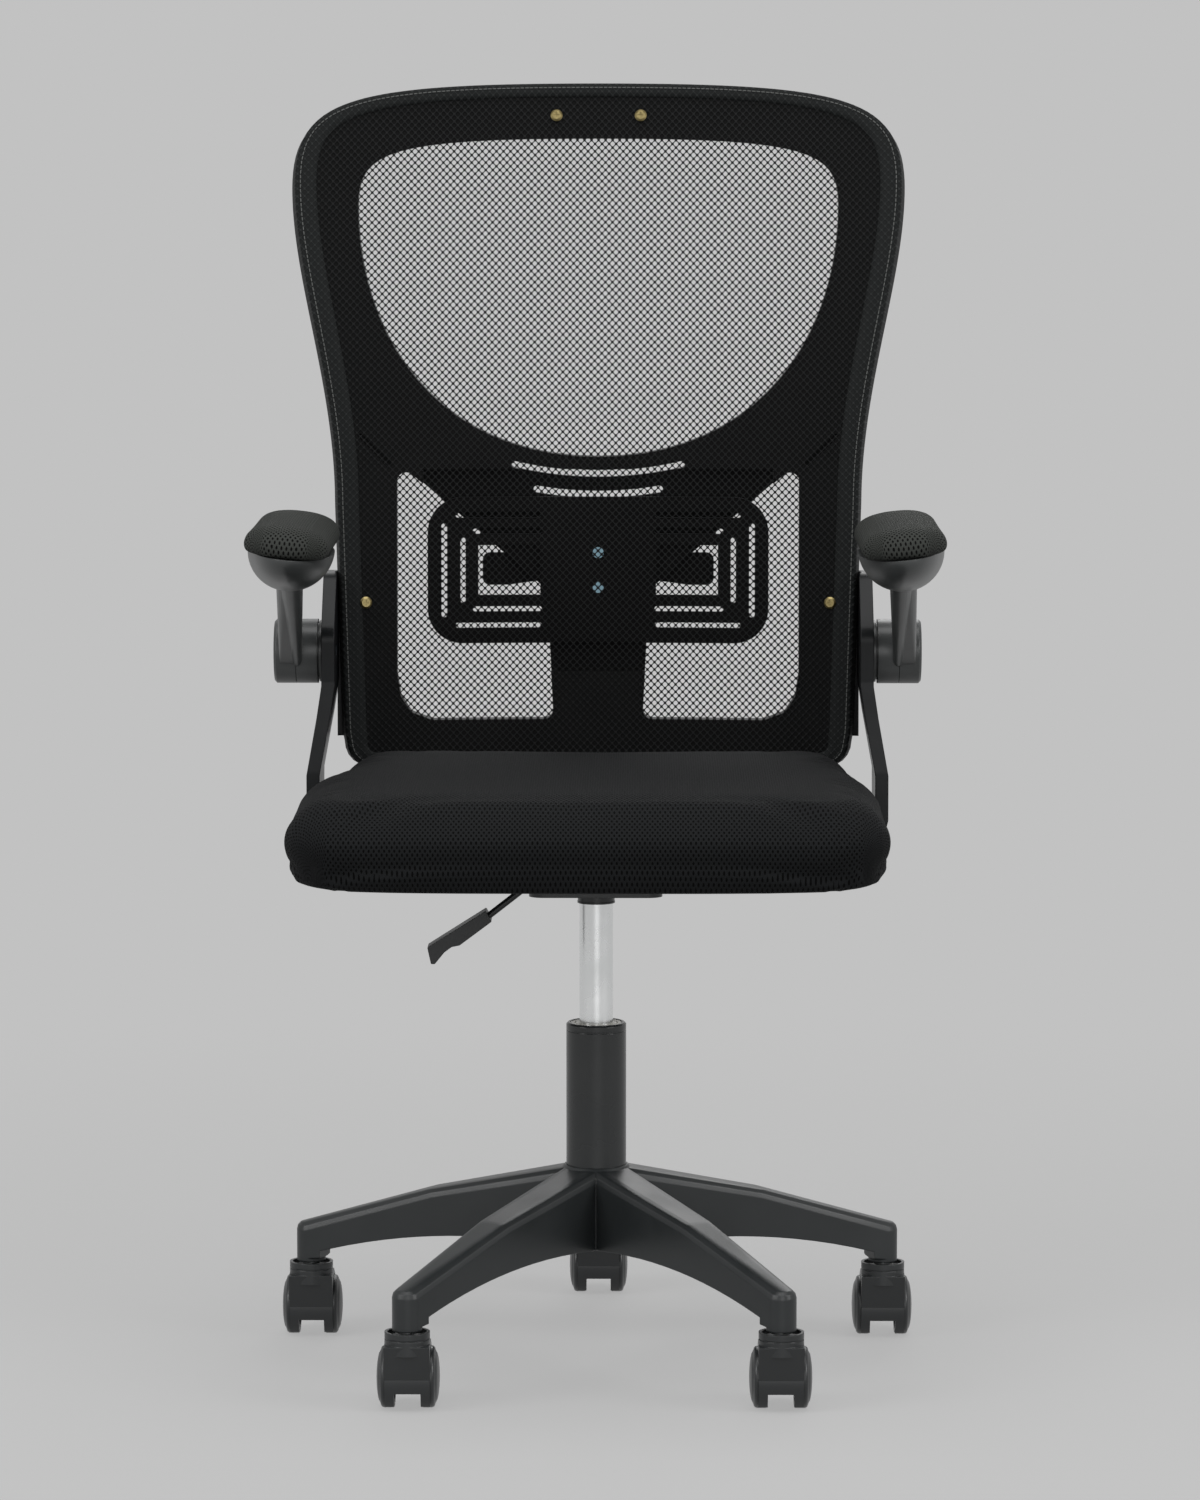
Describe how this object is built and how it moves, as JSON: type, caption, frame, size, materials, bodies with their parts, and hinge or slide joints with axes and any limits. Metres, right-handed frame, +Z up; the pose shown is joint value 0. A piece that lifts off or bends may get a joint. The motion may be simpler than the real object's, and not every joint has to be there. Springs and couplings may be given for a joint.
{
  "type": "office chair",
  "caption": "Swivel office chair with a mesh back, sliding lumbar plate, padded seat, flip-up armrests, gas lift and a five-star base on twin-wheel casters.",
  "frame": {"origin": "on the floor, on the swivel axis of the gas lift", "axes": "+Z up along the gas lift; the chair faces -Y, so the sitter's left side is at +X"},
  "size_m": [0.575, 0.5564, 1.0625],
  "materials": {
    "base_nylon": "moulded glass-filled nylon, fine satin texture",
    "column_paint": "black powder-coated steel",
    "chromed_steel": "hard chromed and ground",
    "bush_plastic": "natural acetal",
    "plain_steel": "zinc-plated steel",
    "blue_zinc": "blue passivated zinc",
    "yellow_zinc": "yellow passivated zinc",
    "bumper_rubber": "moulded rubber",
    "button_plastic": "moulded acetal",
    "lever_paint": "black painted wire",
    "lever_plastic": "moulded polypropylene",
    "plywood": "sanded plywood",
    "seat_fabric": "spacer mesh over foam",
    "cover_fabric": "black non-woven",
    "bracket_plastic": "moulded nylon, satin texture",
    "frame_plastic": "moulded nylon, satin texture",
    "back_net": "open polyester net",
    "arm_plastic": "moulded polypropylene, slight sheen",
    "pad_fabric": "spacer mesh over foam",
    "caster_plastic": "moulded nylon"
  },
  "bodies": {
    "base": {"five_star_base": "base_nylon", "hub_ring": "plain_steel", "column_tube": "column_paint", "column_guide_bush": "bush_plastic", "column_end_plate": "plain_steel", "caster_stems": "plain_steel", "stem_grip_rings": "plain_steel"},
    "piston": {"piston_rod": "chromed_steel", "bearing_balls": "plain_steel", "bearing_washer": "plain_steel", "lift_bumper": "bumper_rubber", "rod_clip": "plain_steel"},
    "seat": {"gas_cylinder": "chromed_steel", "taper_socket": "column_paint", "mechanism_housing": "column_paint", "mechanism_bolts": "blue_zinc", "seat_board": "plywood", "tee_nuts": "plain_steel", "seat_cushion": "seat_fabric", "seat_under_cover": "cover_fabric", "side_bracket_left": "bracket_plastic", "side_bracket_right": "bracket_plastic", "bracket_seat_bolts": "blue_zinc", "back_frame": "frame_plastic", "back_mesh": "back_net", "mesh_edge_strip": "frame_plastic", "back_top_screws": "yellow_zinc", "bracket_back_screws": "yellow_zinc", "arm_hub_left": "bracket_plastic", "arm_hub_right": "bracket_plastic", "arm_pivot_bolts": "blue_zinc"},
    "valve": {"valve_button": "button_plastic"},
    "lever": {"lever_rod": "lever_paint", "lever_paddle": "lever_plastic"},
    "lumbar": {"lumbar_plate": "frame_plastic", "lumbar_slider": "frame_plastic", "lumbar_bolts": "blue_zinc"},
    "arm_left": {"arm_left": "arm_plastic", "arm_cap_left": "arm_plastic", "pad_shell_left": "arm_plastic", "arm_pad_left": "pad_fabric"},
    "arm_right": {"arm_right": "arm_plastic", "arm_cap_right": "arm_plastic", "pad_shell_right": "arm_plastic", "arm_pad_right": "pad_fabric"},
    "caster_1": {"caster_hood_1": "caster_plastic"},
    "wheels_1": {"caster_wheels_1": "caster_plastic", "caster_axle_1": "plain_steel"},
    "caster_2": {"caster_hood_2": "caster_plastic"},
    "wheels_2": {"caster_wheels_2": "caster_plastic", "caster_axle_2": "plain_steel"},
    "caster_3": {"caster_hood_3": "caster_plastic"},
    "wheels_3": {"caster_wheels_3": "caster_plastic", "caster_axle_3": "plain_steel"},
    "caster_4": {"caster_hood_4": "caster_plastic"},
    "wheels_4": {"caster_wheels_4": "caster_plastic", "caster_axle_4": "plain_steel"},
    "caster_5": {"caster_hood_5": "caster_plastic"},
    "wheels_5": {"caster_wheels_5": "caster_plastic", "caster_axle_5": "plain_steel"}
  },
  "joints": [
    {"name": "seat_swivel", "type": "hinge", "parent": "base", "child": "piston", "pos_m": [0, 0, 0.105], "axis": [0, 0, 1], "continuous": true},
    {"name": "seat_height", "type": "slide", "parent": "piston", "child": "seat", "axis": [0, 0, 1], "range_m": [-0.1, 0]},
    {"name": "lever_lift", "type": "hinge", "parent": "seat", "child": "lever", "pos_m": [-0.041, 0, 0.412], "axis": [0, 1, 0], "range_deg": [0, 5], "stiffness_Nm_per_rad": 3, "springref_deg": -5.73},
    {"name": "valve_press", "type": "slide", "parent": "seat", "child": "valve", "axis": [0, 0, -1], "range_m": [0, 0.004]},
    {"name": "arm_left_flip", "type": "hinge", "parent": "seat", "child": "arm_left", "pos_m": [0.25, 0.165, 0.58], "axis": [-1, 0, 0], "range_deg": [0, 38]},
    {"name": "arm_right_flip", "type": "hinge", "parent": "seat", "child": "arm_right", "pos_m": [-0.25, 0.165, 0.58], "axis": [-1, 0, 0], "range_deg": [0, 38]},
    {"name": "lumbar_height", "type": "slide", "parent": "seat", "child": "lumbar", "axis": [0, 0.0523, 0.9986], "range_m": [-0.02, 0.02]},
    {"name": "caster_1_swivel", "type": "hinge", "parent": "base", "child": "caster_1", "pos_m": [0, 0.256, 0.055], "axis": [0, 0, 1], "continuous": true},
    {"name": "caster_2_swivel", "type": "hinge", "parent": "base", "child": "caster_2", "pos_m": [-0.24347, 0.07911, 0.055], "axis": [0, 0, 1], "continuous": true},
    {"name": "caster_3_swivel", "type": "hinge", "parent": "base", "child": "caster_3", "pos_m": [-0.15047, -0.20711, 0.055], "axis": [0, 0, 1], "continuous": true},
    {"name": "caster_4_swivel", "type": "hinge", "parent": "base", "child": "caster_4", "pos_m": [0.15047, -0.20711, 0.055], "axis": [0, 0, 1], "continuous": true},
    {"name": "caster_5_swivel", "type": "hinge", "parent": "base", "child": "caster_5", "pos_m": [0.24347, 0.07911, 0.055], "axis": [0, 0, 1], "continuous": true},
    {"name": "wheels_1_roll", "type": "hinge", "parent": "caster_1", "child": "wheels_1", "pos_m": [0, 0.274, 0.025], "axis": [1, 0, 0], "continuous": true},
    {"name": "wheels_2_roll", "type": "hinge", "parent": "caster_2", "child": "wheels_2", "pos_m": [-0.24347, 0.09711, 0.025], "axis": [1, 0, 0], "continuous": true},
    {"name": "wheels_3_roll", "type": "hinge", "parent": "caster_3", "child": "wheels_3", "pos_m": [-0.15047, -0.18911, 0.025], "axis": [1, 0, 0], "continuous": true},
    {"name": "wheels_4_roll", "type": "hinge", "parent": "caster_4", "child": "wheels_4", "pos_m": [0.15047, -0.18911, 0.025], "axis": [1, 0, 0], "continuous": true},
    {"name": "wheels_5_roll", "type": "hinge", "parent": "caster_5", "child": "wheels_5", "pos_m": [0.24347, 0.09711, 0.025], "axis": [1, 0, 0], "continuous": true}
  ],
  "couplings": [
    {"joint": "valve_press", "follows": "lever_lift", "m_per_rad": 0.041}
  ]
}
